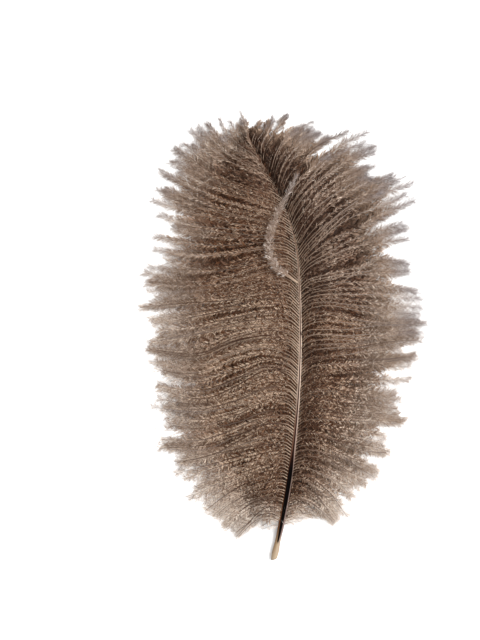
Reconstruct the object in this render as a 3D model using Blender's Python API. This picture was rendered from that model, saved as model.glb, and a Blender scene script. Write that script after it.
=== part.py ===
"""An ostrich body feather, lying on a table with the grooved underside of its shaft up.

Metres, +Z up. +Y runs from the cut quill to the feather's tip and +X is to the right of the shaft.
The origin is on the table, under the middle of the feather's outline. The feather grew as one
piece, so it is one solid: a tapered shaft, a soft vane on both sides of it that parts into locks
of barbs, and one stray lock that has flopped back over the shaft.
"""

import math
import random

import bmesh
import bpy
from mathutils import Vector

# Driving dimensions of the whole feather.
QUILL_END_Y = -0.1018  # the cut end of the quill
VANE_START_Y = -0.0850  # the lowest barbs
SHAFT_TIP_Y = 0.0855  # where the shaft has thinned to nothing

# The shaft seen from above: a gentle bow, and a limp last third that falls to the left.
SHAFT_BOW_X = 0.0059
SHAFT_BOW_Y = 0.0020
SHAFT_BOW = 1.08
SHAFT_DROOP_Y = 0.0300
SHAFT_DROOP = 4.8

# The shaft seen from the side: the quill's end on the table, the vaned part held up by the barbs.
QUILL_END_HEIGHT = 0.0013
SHAFT_LIFT = 0.0086
SHAFT_LIFT_LENGTH = 0.0600
SHAFT_TIP_DROP = 0.0040
SHAFT_TIP_DROP_Y = 0.0350

# Radius of the shaft at a share of the way from its cut end to its tip.
SHAFT_RADII = ((0.0, 0.00095), (0.02, 0.0013), (0.1, 0.0015), (0.3, 0.00125), (0.6, 0.00085), (1.0, 0.00035))
SHAFT_RINGS = 30
SHAFT_SMOOTHNESS = 2

# The furrow along the shaft's underside, which faces up.
GROOVE_START_Y = -0.0920
GROOVE_END_Y = 0.0300
GROOVE_RADIUS = 0.00048
GROOVE_SINK = 0.00012
GROOVE_RINGS = 18
GROOVE_FADE = 0.12

# Barbs: reach in metres and bearing in degrees from +Y, left and right, at shares of the vane.
BARB_STATIONS = (
    (0.00, 0.018, 108.0, 0.018, 94.0),
    (0.08, 0.035, 116.0, 0.033, 112.0),
    (0.22, 0.055, 110.0, 0.048, 105.0),
    (0.45, 0.071, 97.0, 0.057, 97.0),
    (0.68, 0.075, 82.0, 0.061, 82.0),
    (0.81, 0.063, 74.0, 0.060, 71.0),
    (0.91, 0.039, 57.0, 0.039, 50.0),
    (1.00, 0.016, 20.0, 0.016, -6.0),
)
BARB_START_ANGLE = 40.0  # how steeply a barb leaves the shaft
BARB_TIP_START_ANGLE = 12.0  # the same beside the shaft's tip
BARB_END_TURN = 16.0  # how far its end hangs beyond its chord
BARB_START_PULL = 0.24
BARB_END_PULL = 0.34

# The vane: a sheet that parts into locks, arches up beside the shaft and comes down to the table.
LOCKS_A_SIDE = 32
CELLS_OUT = 10
PARTING_CELLS = (7, 8)  # two locks hang free of each other beyond one of these cells
LOCK_WIDTH_SPREAD = 0.20
LOCK_END_WIDTH = 0.26
LOCK_TAPER_POWER = 1.2
LOCK_REACH_SPREAD = 0.14
LOCK_LIFT_SPREAD = 0.0007
LOCK_RIDGE = 0.0010
LOCK_SEAM = 0.0006
VANE_ARCH = 0.0036
VANE_ARCH_SHARE = 0.55
VANE_FULL_ARCH_REACH = 0.040
VANE_DOWN_SHARE = 0.76
VANE_REST_HEIGHT = 0.0002
VANE_THICKNESS = 0.0026
VANE_ROOT_SHARE = 0.36
VANE_SWELL = 0.35
VANE_THIN_FROM = 0.55
VANE_END_SHARE = 0.55

# The stray lock, at shares of its length: it leaves the shaft's left side and crosses back over it.
STRAY_LOCK = (
    (0.00, 0.0046, 0.0230, 0.0086, 0.0006),
    (0.12, 0.0000, 0.0262, 0.0104, 0.0011),
    (0.26, -0.0052, 0.0300, 0.0117, 0.0016),
    (0.40, -0.0082, 0.0368, 0.0124, 0.0019),
    (0.55, -0.0077, 0.0452, 0.0121, 0.0019),
    (0.70, -0.0046, 0.0532, 0.0111, 0.0017),
    (0.85, -0.0004, 0.0614, 0.0102, 0.0013),
    (1.00, 0.0044, 0.0712, 0.0096, 0.0004),
)
STRAY_RINGS = 16
STRAY_SMOOTHNESS = 1

WELD = 0.00001
SEED = 5


def clear_scene():
    for obj in list(bpy.data.objects):
        bpy.data.objects.remove(obj)


def new_collection(name):
    collection = bpy.data.collections.new(name)
    bpy.context.scene.collection.children.link(collection)
    return collection


def move_to(obj, collection):
    for old in list(obj.users_collection):
        old.objects.unlink(obj)
    collection.objects.link(obj)


def ease(share):
    """0 to 1 with a soft start and end."""
    share = min(max(share, 0.0), 1.0)
    return share * share * (3 - 2 * share)


def smooth_through(stations, share):
    """The row of values at this share, on a smooth curve through the stations' rows."""
    last = len(stations) - 2
    at = next((i for i in range(last + 1) if share <= stations[i + 1][0]), last)
    before, here, after, beyond = (
        stations[min(max(at + step, 0), last + 1)] for step in (-1, 0, 1, 2)
    )
    span = after[0] - here[0]
    t = (share - here[0]) / span
    row = []
    for k in range(1, len(here)):
        slope_here = (after[k] - before[k]) / (after[0] - before[0])
        slope_after = (beyond[k] - here[k]) / (beyond[0] - here[0])
        row.append(
            (2 * t**3 - 3 * t**2 + 1) * here[k]
            + (t**3 - 2 * t**2 + t) * span * slope_here
            + (3 * t**2 - 2 * t**3) * after[k]
            + (t**3 - t**2) * span * slope_after
        )
    return row


def spread(low, high, count):
    """Evenly spaced numbers from low to high, both included."""
    return [low + (high - low) * i / (count - 1) for i in range(count)]


def shaft_radius(y):
    return smooth_through(SHAFT_RADII, (y - QUILL_END_Y) / (SHAFT_TIP_Y - QUILL_END_Y))[0]


def shaft_point(y):
    """The middle of the shaft at this distance along the feather."""
    x = SHAFT_BOW_X - SHAFT_BOW * (y - SHAFT_BOW_Y) ** 2 - SHAFT_DROOP * max(y - SHAFT_DROOP_Y, 0) ** 2
    rise = ease((y - QUILL_END_Y) / SHAFT_LIFT_LENGTH)
    drop = ease((y - SHAFT_TIP_DROP_Y) / (SHAFT_TIP_Y - SHAFT_TIP_DROP_Y))
    z = QUILL_END_HEIGHT + (SHAFT_LIFT - QUILL_END_HEIGHT) * rise - SHAFT_TIP_DROP * drop
    return Vector((x, y, z))


def shaft_bearing(y):
    """The shaft's level direction, in degrees from +Y towards +X."""
    slope = -2 * SHAFT_BOW * (y - SHAFT_BOW_Y) - 2 * SHAFT_DROOP * max(y - SHAFT_DROOP_Y, 0)
    return math.degrees(math.atan(slope))


def tube(name, points, radii, smoothness):
    """A closed mesh tube along the points, made from a bevelled curve."""
    curve = bpy.data.curves.new(name, "CURVE")
    curve.dimensions = "3D"
    curve.bevel_depth = 1.0
    curve.bevel_resolution = smoothness
    curve.use_fill_caps = True
    curve.twist_mode = "Z_UP"
    spline = curve.splines.new("POLY")
    spline.points.add(len(points) - 1)
    for knot, place, radius in zip(spline.points, points, radii):
        knot.co = (*place, 1.0)
        knot.radius = radius
    source = bpy.data.objects.new(name + "_curve", curve)
    bpy.context.scene.collection.objects.link(source)
    graph = bpy.context.evaluated_depsgraph_get()
    mesh = bpy.data.meshes.new_from_object(source.evaluated_get(graph))
    obj = bpy.data.objects.new(name, mesh)
    obj.matrix_world = source.matrix_world
    bpy.data.objects.remove(source)
    shape = bmesh.new()
    shape.from_mesh(mesh)
    bmesh.ops.remove_doubles(shape, verts=shape.verts, dist=WELD)
    bmesh.ops.recalc_face_normals(shape, faces=shape.faces)
    shape.to_mesh(mesh)
    shape.free()
    return obj


def make_shaft():
    rows = spread(QUILL_END_Y, SHAFT_TIP_Y, SHAFT_RINGS)
    points = [shaft_point(y) for y in rows]
    return tube("shaft", points, [shaft_radius(y) for y in rows], SHAFT_SMOOTHNESS)


def make_groove():
    """The cutter of the furrow: it runs along the top of the shaft and fades out at both ends."""
    points = []
    for i, y in enumerate(spread(GROOVE_START_Y, GROOVE_END_Y, GROOVE_RINGS)):
        share = i / (GROOVE_RINGS - 1)
        fade = ease(min(share, 1 - share) / GROOVE_FADE)
        centre = shaft_point(y)
        centre.z += shaft_radius(y) + GROOVE_SINK + (1 - fade) * GROOVE_RADIUS
        points.append(centre)
    return tube("groove_cutter", points, [GROOVE_RADIUS] * GROOVE_RINGS, 1)


def make_stray_lock():
    rings = [smooth_through(STRAY_LOCK, share) for share in spread(0, 1, STRAY_RINGS)]
    points = [Vector(ring[:3]) for ring in rings]
    return tube("stray_lock", points, [ring[3] for ring in rings], STRAY_SMOOTHNESS)


def heading(bearing):
    """A level direction so many degrees from +Y towards +X."""
    angle = math.radians(bearing)
    return Vector((math.sin(angle), math.cos(angle), 0.0))


def barb_point(share, side, out):
    """A point of the vane, out to a share of the barb rooted at a share of the shaft's vaned part.

    side is -1 on the left of the shaft and 1 on its right.
    """
    y = VANE_START_Y + (SHAFT_TIP_Y - VANE_START_Y) * share
    root = shaft_point(y)
    stations = smooth_through(BARB_STATIONS, share)
    reach, bearing = stations[:2] if side < 0 else stations[2:]
    steep = BARB_START_ANGLE + (BARB_TIP_START_ANGLE - BARB_START_ANGLE) * share**8
    turn = BARB_END_TURN * (1 - share**8)
    end = root + reach * heading(side * bearing)
    first = root + BARB_START_PULL * reach * heading(shaft_bearing(y) + side * steep)
    second = end - BARB_END_PULL * reach * heading(side * (bearing + turn))
    rest = 1 - out
    place = rest**3 * root + 3 * rest**2 * out * first + 3 * rest * out**2 * second + out**3 * end
    fall = ease(out / VANE_DOWN_SHARE)
    arch = math.sin(math.pi * min(out / VANE_ARCH_SHARE, 1.0)) * min(1.0, reach / VANE_FULL_ARCH_REACH)
    place.z = root.z + (VANE_REST_HEIGHT - root.z) * fall + VANE_ARCH * arch
    return place


def vane_half_thickness(out):
    """Half the vane's thickness: thin at the shaft, full in the middle, thin at the locks' ends."""
    swell = VANE_ROOT_SHARE + (1 - VANE_ROOT_SHARE) * ease(out / VANE_SWELL)
    thin = 1 - (1 - VANE_END_SHARE) * ease((out - VANE_THIN_FROM) / (1 - VANE_THIN_FROM))
    return VANE_THICKNESS / 2 * swell * thin


class Locks:
    """How the vane parts into locks, each with its own width, reach and lift."""

    def __init__(self):
        rng = random.Random(SEED)
        self.reach = {}
        self.lift = {}
        self.parting = {}
        self.shift = {}
        for side in (-1, 1):
            for lock in range(LOCKS_A_SIDE + 1):
                self.reach[side, lock] = 1 - rng.uniform(0, LOCK_REACH_SPREAD)
                self.lift[side, lock] = rng.uniform(0, LOCK_LIFT_SPREAD)
                self.parting[side, lock] = rng.choice(PARTING_CELLS)
                self.shift[side, lock] = rng.uniform(-LOCK_WIDTH_SPREAD, LOCK_WIDTH_SPREAD)
            self.shift[side, 0] = self.shift[side, LOCKS_A_SIDE] = 0.0

    def border(self, side, slit, cell):
        """Where two locks meet, as a share of the vane. The borders are even along the shaft."""
        return (slit + self.shift[side, slit] * ease(cell / PARTING_CELLS[0])) / LOCKS_A_SIDE

    def place(self, side, lock, edge, cell):
        """A point of one lock. edge is -1 or 1 on the lock's two edges, and 0 on its middle line."""
        out = cell / CELLS_OUT
        parted = self.parting[side, lock + (edge > 0)]
        beyond = max(0.0, (cell - parted) / (CELLS_OUT - parted))
        width = 1 - (1 - LOCK_END_WIDTH) * beyond**LOCK_TAPER_POWER
        low = self.border(side, lock, cell)
        high = self.border(side, lock + 1, cell)
        share = (low + high + (high - low) * edge * width) / 2
        free = ease((cell - PARTING_CELLS[0] + 1) / (CELLS_OUT - PARTING_CELLS[0] + 1))
        place = barb_point(share, side, out * (1 + (self.reach[side, lock] - 1) * free))
        fullness = (high - low) * LOCKS_A_SIDE * math.sin(math.pi * out)
        place.z += fullness * (LOCK_RIDGE if edge == 0 else -LOCK_SEAM)
        place.z += math.sin(math.pi * free) * self.lift[side, lock]
        return place


def is_slit(edge, locks):
    """Whether this edge of the grid lies between two locks, out where they hang free of each other."""
    first, second = edge.verts
    row = first.co.y
    if row != second.co.y or row % 2 or not 0 < row < 2 * LOCKS_A_SIDE:
        return False
    side = 1 if first.co.x + second.co.x > 0 else -1
    return min(abs(first.co.x), abs(second.co.x)) >= locks.parting[side, row // 2]


def make_vane():
    """Both sides of the vane: a slit grid whose rows run along the barbs, thickened and laid out."""
    locks = Locks()
    rows = 2 * LOCKS_A_SIDE
    shape = bmesh.new()
    bmesh.ops.create_grid(shape, x_segments=2 * CELLS_OUT, y_segments=rows, size=1.0)
    for vert in shape.verts:
        vert.co.x = round(vert.co.x * CELLS_OUT)
        vert.co.y = round((vert.co.y + 1) / 2 * rows)
    bmesh.ops.split_edges(shape, edges=[edge for edge in shape.edges if is_slit(edge, locks)])
    copied = bmesh.ops.extrude_face_region(shape, geom=list(shape.faces), use_keep_orig=True)["geom"]
    for item in copied:
        if isinstance(item, bmesh.types.BMVert):
            item.co.z = -1.0
    placed = {}
    for vert in shape.verts:
        side = -1 if vert.co.x < 0 else 1
        cell = abs(vert.co.x)
        flat = next(face for face in vert.link_faces if len({corner.co.z for corner in face.verts}) == 1)
        lock = int(flat.calc_center_median().y // 2)
        edge = vert.co.y - (2 * lock + 1)
        place = locks.place(side, lock, edge, cell)
        place.z += vane_half_thickness(cell / CELLS_OUT) * (1 if vert.co.z == 0 else -1)
        place.z = max(place.z, 0.0)  # flat where it lies on the table
        placed[vert] = place
    for vert, place in placed.items():
        vert.co = place
    bmesh.ops.recalc_face_normals(shape, faces=shape.faces)
    mesh = bpy.data.meshes.new("feather")
    shape.to_mesh(mesh)
    shape.free()
    return bpy.data.objects.new("feather", mesh)


def add_boolean(obj, other, operation):
    modifier = obj.modifiers.new(other.name, "BOOLEAN")
    modifier.operation = operation
    modifier.solver = "EXACT"
    modifier.object = other


def plume_material():
    material = bpy.data.materials.new("plume")
    material.use_nodes = True
    shader = material.node_tree.nodes["Principled BSDF"]
    shader.inputs["Base Color"].default_value = (0.20, 0.13, 0.09, 1.0)
    shader.inputs["Roughness"].default_value = 0.7
    shader.inputs["Metallic"].default_value = 0.0
    return material


clear_scene()
feather_parts = new_collection("ostrich_feather")
helpers = new_collection("helpers")
feather = make_vane()
feather.data.materials.append(plume_material())
shaft = make_shaft()
groove = make_groove()
stray_lock = make_stray_lock()
for helper in (shaft, groove, stray_lock):
    move_to(helper, helpers)
    helper.hide_render = True
    helper.display_type = "WIRE"
move_to(feather, feather_parts)
add_boolean(shaft, groove, "DIFFERENCE")
add_boolean(feather, shaft, "UNION")
add_boolean(feather, stray_lock, "UNION")
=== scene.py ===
import math
import random

import bpy
import numpy as np
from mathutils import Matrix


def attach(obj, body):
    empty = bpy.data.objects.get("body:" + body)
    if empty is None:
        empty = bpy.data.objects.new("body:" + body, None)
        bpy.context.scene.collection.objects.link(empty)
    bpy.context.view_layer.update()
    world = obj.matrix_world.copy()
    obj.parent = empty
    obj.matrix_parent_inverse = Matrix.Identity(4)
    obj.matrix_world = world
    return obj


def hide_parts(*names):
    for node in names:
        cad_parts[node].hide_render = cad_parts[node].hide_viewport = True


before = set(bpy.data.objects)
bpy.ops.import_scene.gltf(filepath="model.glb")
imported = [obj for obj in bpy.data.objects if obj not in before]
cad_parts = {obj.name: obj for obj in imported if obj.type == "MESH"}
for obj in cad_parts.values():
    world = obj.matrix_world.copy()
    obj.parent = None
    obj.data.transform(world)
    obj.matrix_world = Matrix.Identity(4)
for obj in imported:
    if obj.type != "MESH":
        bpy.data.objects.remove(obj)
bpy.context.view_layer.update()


# The shaft: one tapered rod of horn, hollow and pale at the cut quill and filled with white pith
# above it. It grew out of the follicle tip first, with the barbs on its two flanks. Its grooved
# side faces up here, and a black stripe runs along the groove: partly the dried core showing
# through the quill's wall, partly painted shade in the groove. Its left flank is painted darker,
# as painted shade on the side turned from the light.

QUILL_END_Y = -0.1018
VANE_START_Y = -0.0850
SHAFT_TIP_Y = 0.0855
SHAFT_BOW_X = 0.0059
SHAFT_BOW_Y = 0.0020
SHAFT_BOW = 1.08
SHAFT_DROOP_Y = 0.0300
SHAFT_DROOP = 4.8
QUILL_END_HEIGHT = 0.0016
SHAFT_LIFT = 0.0086
SHAFT_LIFT_LENGTH = 0.0600
SHAFT_TIP_DROP = 0.0040
SHAFT_TIP_DROP_Y = 0.0350
SHAFT_RADII = (
    (0.000, 0.00150),
    (0.015, 0.00160),
    (0.044, 0.00122),
    (0.075, 0.00140),
    (0.140, 0.00150),
    (0.300, 0.00105),
    (0.600, 0.00062),
    (0.800, 0.00040),
    (1.000, 0.00025),
)
SHAFT_RINGS = 260
SHAFT_SIDES = 36
FURROW_DEPTH = 0.34  # of the shaft's radius
FURROW_HALF_ANGLE = 0.42
FURROW_STARTS = (0.05, 0.05)  # the share of the shaft where it starts, and over how much it deepens
QUILL_CUT_LEAN = 0.5  # how far the cut slants across the quill, in radii
QUILL_CUT_ROLL = 0.4  # times that, from top to bottom
QUILL_CUT_SHARE = 0.03  # of the shaft's length feels the cut
QUILL_WALL = 0.72
QUILL_HOLLOW = 0.0030
QUILL_HOLLOW_RISE = 0.0004
BELOW_FROM = -0.3  # the sine of the angle round the shaft, on the side that lies down
BELOW_ACROSS = 3.0  # times further across than the flanks, so no core shows
UP = np.array((0.0, 0.0, 1.0))


def ease(share):
    """0 to 1 with a soft start and end."""
    share = np.clip(share, 0.0, 1.0)
    return share * share * (3 - 2 * share)


def rising(value, start, span):
    """0 up to start, then softly up to 1 over the span."""
    return ease((value - start) / span)


def smooth_through(stations, share):
    """Rows of values at these shares, on smooth curves through the stations' rows."""
    stations = np.array(stations)
    share = np.asarray(share, float)
    last = len(stations) - 1
    at = np.clip(np.searchsorted(stations[:, 0], share) - 1, 0, last - 1)
    before, here = stations[np.maximum(at - 1, 0)], stations[at]
    after, beyond = stations[at + 1], stations[np.minimum(at + 2, last)]
    span = (after - here)[..., :1]
    t = (share[..., None] - here[..., :1]) / span
    slope_here = (after - before) / (after - before)[..., :1]
    slope_after = (beyond - here) / (beyond - here)[..., :1]
    rows = (2 * t**3 - 3 * t**2 + 1) * here + (t**3 - 2 * t**2 + t) * span * slope_here
    rows += (3 * t**2 - 2 * t**3) * after + (t**3 - t**2) * span * slope_after
    return rows[..., 1:]


def shaft_radius(y):
    return smooth_through(SHAFT_RADII, (y - QUILL_END_Y) / (SHAFT_TIP_Y - QUILL_END_Y))[..., 0]


def shaft_point(y):
    """The middle of the shaft at this distance along the feather."""
    x = SHAFT_BOW_X - SHAFT_BOW * (y - SHAFT_BOW_Y) ** 2
    x = x - SHAFT_DROOP * np.maximum(y - SHAFT_DROOP_Y, 0) ** 2
    rise = ease((y - QUILL_END_Y) / SHAFT_LIFT_LENGTH)
    drop = ease((y - SHAFT_TIP_DROP_Y) / (SHAFT_TIP_Y - SHAFT_TIP_DROP_Y))
    z = QUILL_END_HEIGHT + (SHAFT_LIFT - QUILL_END_HEIGHT) * rise - SHAFT_TIP_DROP * drop
    return np.stack([x, y, z], -1)


def shaft_bearing(y):
    """The shaft's level direction, in radians from +Y towards +X."""
    slope = -2 * SHAFT_BOW * (y - SHAFT_BOW_Y) - 2 * SHAFT_DROOP * np.maximum(y - SHAFT_DROOP_Y, 0)
    return np.arctan(slope)


def unit(vectors):
    return vectors / np.linalg.norm(vectors, axis=-1, keepdims=True)


def put_in_scene(name, data):
    thing = bpy.data.objects.new(name, data)
    bpy.context.scene.collection.objects.link(thing)
    return thing


def new_piece(name, points, faces, values, bake_uv, material):
    """A mesh object with its place in its vertices. values are numbers for each vertex, by name."""
    mesh = bpy.data.meshes.new(name)
    corners = faces.shape[1]
    mesh.vertices.add(len(points))
    mesh.vertices.foreach_set("co", points.astype(np.float32).ravel())
    mesh.loops.add(faces.size)
    mesh.loops.foreach_set("vertex_index", faces.astype(np.int32).ravel())
    mesh.polygons.add(len(faces))
    mesh.polygons.foreach_set("loop_start", np.arange(0, faces.size, corners, dtype=np.int32))
    mesh.update(calc_edges=True)
    for value_name, numbers in values.items():
        layer = mesh.attributes.new(value_name, "FLOAT", "POINT")
        layer.data.foreach_set("value", numbers.astype(np.float32).ravel())
    if bake_uv is not None:
        layer = mesh.uv_layers.new(name="OFBake")
        layer.uv.foreach_set("vector", bake_uv[faces.ravel()].astype(np.float32).ravel())
    mesh.materials.append(material)
    piece = put_in_scene(name, mesh)
    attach(piece, "root")
    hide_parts("feather")
    return piece


def srgb(red, green, blue):
    """A colour as a screen shows it, 0 to 255, as the light it stands for."""
    shares = [value / 255 for value in (red, green, blue)]
    return tuple(s / 12.92 if s <= 0.04045 else ((s + 0.055) / 1.055) ** 2.4 for s in shares)


class Wire:
    """The value that leaves one node of a material. Arithmetic on it adds Math nodes."""

    def __init__(self, tree, socket=None):
        self.tree = tree
        self.socket = socket

    def node(self, kind, settings=None, values=None, output=0):
        """A new node of any kind: its settings, then the values or wires of its sockets."""
        node = self.tree.nodes.new(kind)
        for name, setting in (settings or {}).items():
            if name == "stops":
                while len(node.color_ramp.elements) < len(setting):
                    node.color_ramp.elements.new(1.0)
                for stop, (place, colour) in zip(node.color_ramp.elements, setting):
                    stop.position = place
                    stop.color = (*colour, 1.0)
            else:
                setattr(node, name, setting)
        for name, value in (values or {}).items():
            if isinstance(value, Wire):
                self.tree.links.new(value.socket, node.inputs[name])
            else:
                node.inputs[name].default_value = value
        return Wire(self.tree, node.outputs[output])

    def math(self, operation, *values):
        return self.node("ShaderNodeMath", {"operation": operation}, dict(enumerate(values)))

    def __add__(self, other):
        return self.math("ADD", self, other)

    __radd__ = __add__

    def __sub__(self, other):
        return self.math("SUBTRACT", self, other)

    def __rsub__(self, other):
        return self.math("SUBTRACT", other, self)

    def __mul__(self, other):
        return self.math("MULTIPLY", self, other)

    __rmul__ = __mul__

    def __truediv__(self, other):
        return self.math("DIVIDE", self, other)

    def __rtruediv__(self, other):
        return self.math("DIVIDE", other, self)

    def __pow__(self, other):
        return self.math("POWER", self, other)

    def __rpow__(self, other):
        return self.math("POWER", other, self)

    def __abs__(self):
        return self.math("ABSOLUTE", self)

    def clipped(self):
        return self.node("ShaderNodeClamp", {}, {"Value": self})

    def attribute(self, name):
        return self.node("ShaderNodeAttribute", {"attribute_name": name}, output="Fac")

    def noise(self, scale, detail):
        return self.node("ShaderNodeTexNoise", {}, {"Scale": scale, "Detail": detail})

    def ramp(self, stops):
        """A colour from a row of stops, each a place from 0 to 1 and the colour there on a screen."""
        stops = [(place, srgb(*colour)) for place, *colour in stops]
        return self.node("ShaderNodeValToRGB", {"stops": stops}, {"Fac": self})

    def mix(self, share, first, second):
        """A colour that goes from first to second as share goes from 0 to 1."""
        values = {0: share, 6: first, 7: second}
        return self.node("ShaderNodeMix", {"data_type": "RGBA"}, values, output=2)

    def into(self, shader, name):
        """Feeds the shader's socket of this name."""
        self.tree.links.new(self.socket, shader.inputs[name])


def new_material(name, roughness, specular):
    """A material with a Principled shader: the material, a blank wire and the shader node."""
    material = bpy.data.materials.new(name)
    material.use_nodes = True
    shader = material.node_tree.nodes["Principled BSDF"]
    shader.inputs["Roughness"].default_value = roughness
    shader.inputs["Specular IOR Level"].default_value = specular
    return material, Wire(material.node_tree), shader


SHAFT_GRAIN = (700.0, 3.0)  # scale and detail
STRIPES_RAGGED = 0.16  # how far the grain frays the edges of the stripes
# the left flank is painted darker than the ridge: painted shade on the side turned from the key light
SHADED_FLANK_AT, SHADED_FLANK_BLEND = 0.05, 0.3  # where the ridge's colour goes over into the left flank's
STAIN_COLOUR = (120, 84, 60)
STAIN_FROM, STAIN_STRENGTH = 0.35, 0.5
# the black stripe along the groove, partly the dried core and partly painted shade in the groove
CORE_START, CORE_WIDENS, CORE_WIDENING = 0.0050, 0.033, 0.3
CORE_THINS_AT, CORE_THINS = 0.041, 0.010
CORE_LOW_HALF, CORE_HIGH_HALF = 0.76, 0.38
CORE_EDGE = 0.12
GRAIN_STRENGTH, GRAIN_DEPTH = 0.2, 0.0001


def shaft_material():
    material, blank, shader = new_material("horn_of_the_shaft", 0.38, 0.03)
    along = blank.attribute("along")  # metres from the cut end
    across = blank.attribute("across")  # -1 at the left flank, 0 on top, 1 at the right flank
    grain = blank.noise(*SHAFT_GRAIN)
    ridge_stops = (
        (0.0, 160, 143, 120),
        (0.04, 150, 132, 116),
        (0.06, 112, 96, 92),
        (0.24, 112, 95, 88),
        (0.30, 140, 122, 112),
        (0.50, 190, 172, 156),
        (0.66, 162, 143, 127),
        (0.74, 112, 92, 76),
        (1.0, 96, 78, 65),
    )
    # the left flank's colours, darker than the ridge's low on the shaft: painted shade on the side turned
    # from the key light
    shaded_flank_stops = (
        (0.0, 160, 143, 120),
        (0.04, 136, 112, 86),
        (0.08, 84, 52, 32),
        (0.24, 72, 44, 32),
        (0.34, 104, 80, 66),
        (0.44, 176, 158, 143),
        (0.62, 150, 131, 116),
        (1.0, 98, 78, 64),
    )
    # the black stripe's colours: partly the dried core showing through, partly painted shade in the
    # groove
    core_and_groove_shade_stops = (
        (0.0, 160, 143, 120),
        (0.036, 150, 130, 104),
        (0.043, 6, 3, 2),
        (0.22, 4, 2, 2),
        (0.27, 32, 14, 9),
        (0.38, 40, 20, 14),
        (0.50, 56, 34, 27),
        (0.80, 66, 45, 35),
        (1.0, 96, 74, 60),
    )
    share = along / (SHAFT_TIP_Y - QUILL_END_Y)
    ridge, flank, core = (share.ramp(stops) for stops in (ridge_stops, shaded_flank_stops, core_and_groove_shade_stops))
    ragged = across + STRIPES_RAGGED * (grain - 0.5)
    # left of the ridge the horn takes the left flank's colours, painted shade on the side away from the
    # light
    horn = blank.mix(((SHADED_FLANK_AT - ragged) / SHADED_FLANK_BLEND).clipped(), ridge, flank)
    stain = (grain - STAIN_FROM).clipped() * STAIN_STRENGTH
    horn = blank.mix(stain, horn, (*srgb(*STAIN_COLOUR), 1))
    low = ((along - CORE_START) / CORE_WIDENS).clipped() ** CORE_WIDENING
    high = ((along - CORE_THINS_AT) / CORE_THINS).clipped()
    half_width = CORE_LOW_HALF * low * (1 - high) + CORE_HIGH_HALF * high
    # the stripe along the groove is partly the dried core and partly painted shade in the groove
    blank.mix(((half_width - abs(ragged)) / CORE_EDGE).clipped(), horn, core).into(shader, "Base Color")
    relief = {"Strength": GRAIN_STRENGTH, "Distance": GRAIN_DEPTH, "Height": grain}
    blank.node("ShaderNodeBump", {}, relief).into(shader, "Normal")
    return material


def tube_faces(tubes, rings, sides):
    """The four-sided faces of open tubes, whose points follow one another ring by ring."""
    places = (np.arange(tubes), np.arange(rings - 1), np.arange(sides))
    tube, ring, side = np.meshgrid(*places, indexing="ij")
    first = (tube * rings + ring) * sides
    corner, beside = first + side, first + (side + 1) % sides
    return np.stack([corner, beside, beside + sides, corner + sides], -1).reshape(-1, 4)


def make_shaft():
    y = np.linspace(QUILL_END_Y, SHAFT_TIP_Y, SHAFT_RINGS)[:, None]
    angle = np.linspace(0, 2 * np.pi, SHAFT_SIDES, endpoint=False)[None]
    bearing = shaft_bearing(y)
    right = np.stack([np.cos(bearing), -np.sin(bearing), np.zeros_like(y)], -1)
    share = (y - QUILL_END_Y) / (SHAFT_TIP_Y - QUILL_END_Y)
    furrow = np.exp(-(((angle - np.pi / 2) / FURROW_HALF_ANGLE) ** 2)) * rising(share, *FURROW_STARTS)
    radius = shaft_radius(y)[..., None]
    rise = np.sin(angle) - FURROW_DEPTH * furrow
    points = shaft_point(y) + radius * (np.cos(angle)[..., None] * right + rise[..., None] * UP)
    slant = QUILL_CUT_LEAN * shaft_radius(y) * (1 - ease(share / QUILL_CUT_SHARE))
    points[..., 1] += slant * (np.cos(angle) - QUILL_CUT_ROLL * np.sin(angle))
    cut, middle = points[0], points[0].mean(0)
    inner = middle + (cut - middle) * QUILL_WALL
    bottom = inner + np.array((0.0, QUILL_HOLLOW, QUILL_HOLLOW_RISE))
    points = np.concatenate([bottom[None], inner[None], points])
    along = points[..., 1] - QUILL_END_Y
    across = np.cos(angle) * np.where(np.sin(angle) < BELOW_FROM, BELOW_ACROSS, 1.0) + 0 * along
    quads = tube_faces(1, *points.shape[:2])
    values = {"along": along, "across": across}
    return new_piece("shaft", points.reshape(-1, 3), quads, values, None, shaft_material())


make_shaft().data.shade_smooth()


# The barbs: 128 fine branches of horn on each side, which leave the shaft steeply, arch over and
# droop to the table under their own fluff. Neighbours cling together into locks towards their
# ends, and each lock ends at its own length. Here and there a barb lies bare on top of the others.

GUIDE_PLACES = (0.0, 0.10, 0.25, 0.45, 0.70, 1.0)  # shares of a barb's length
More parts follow.
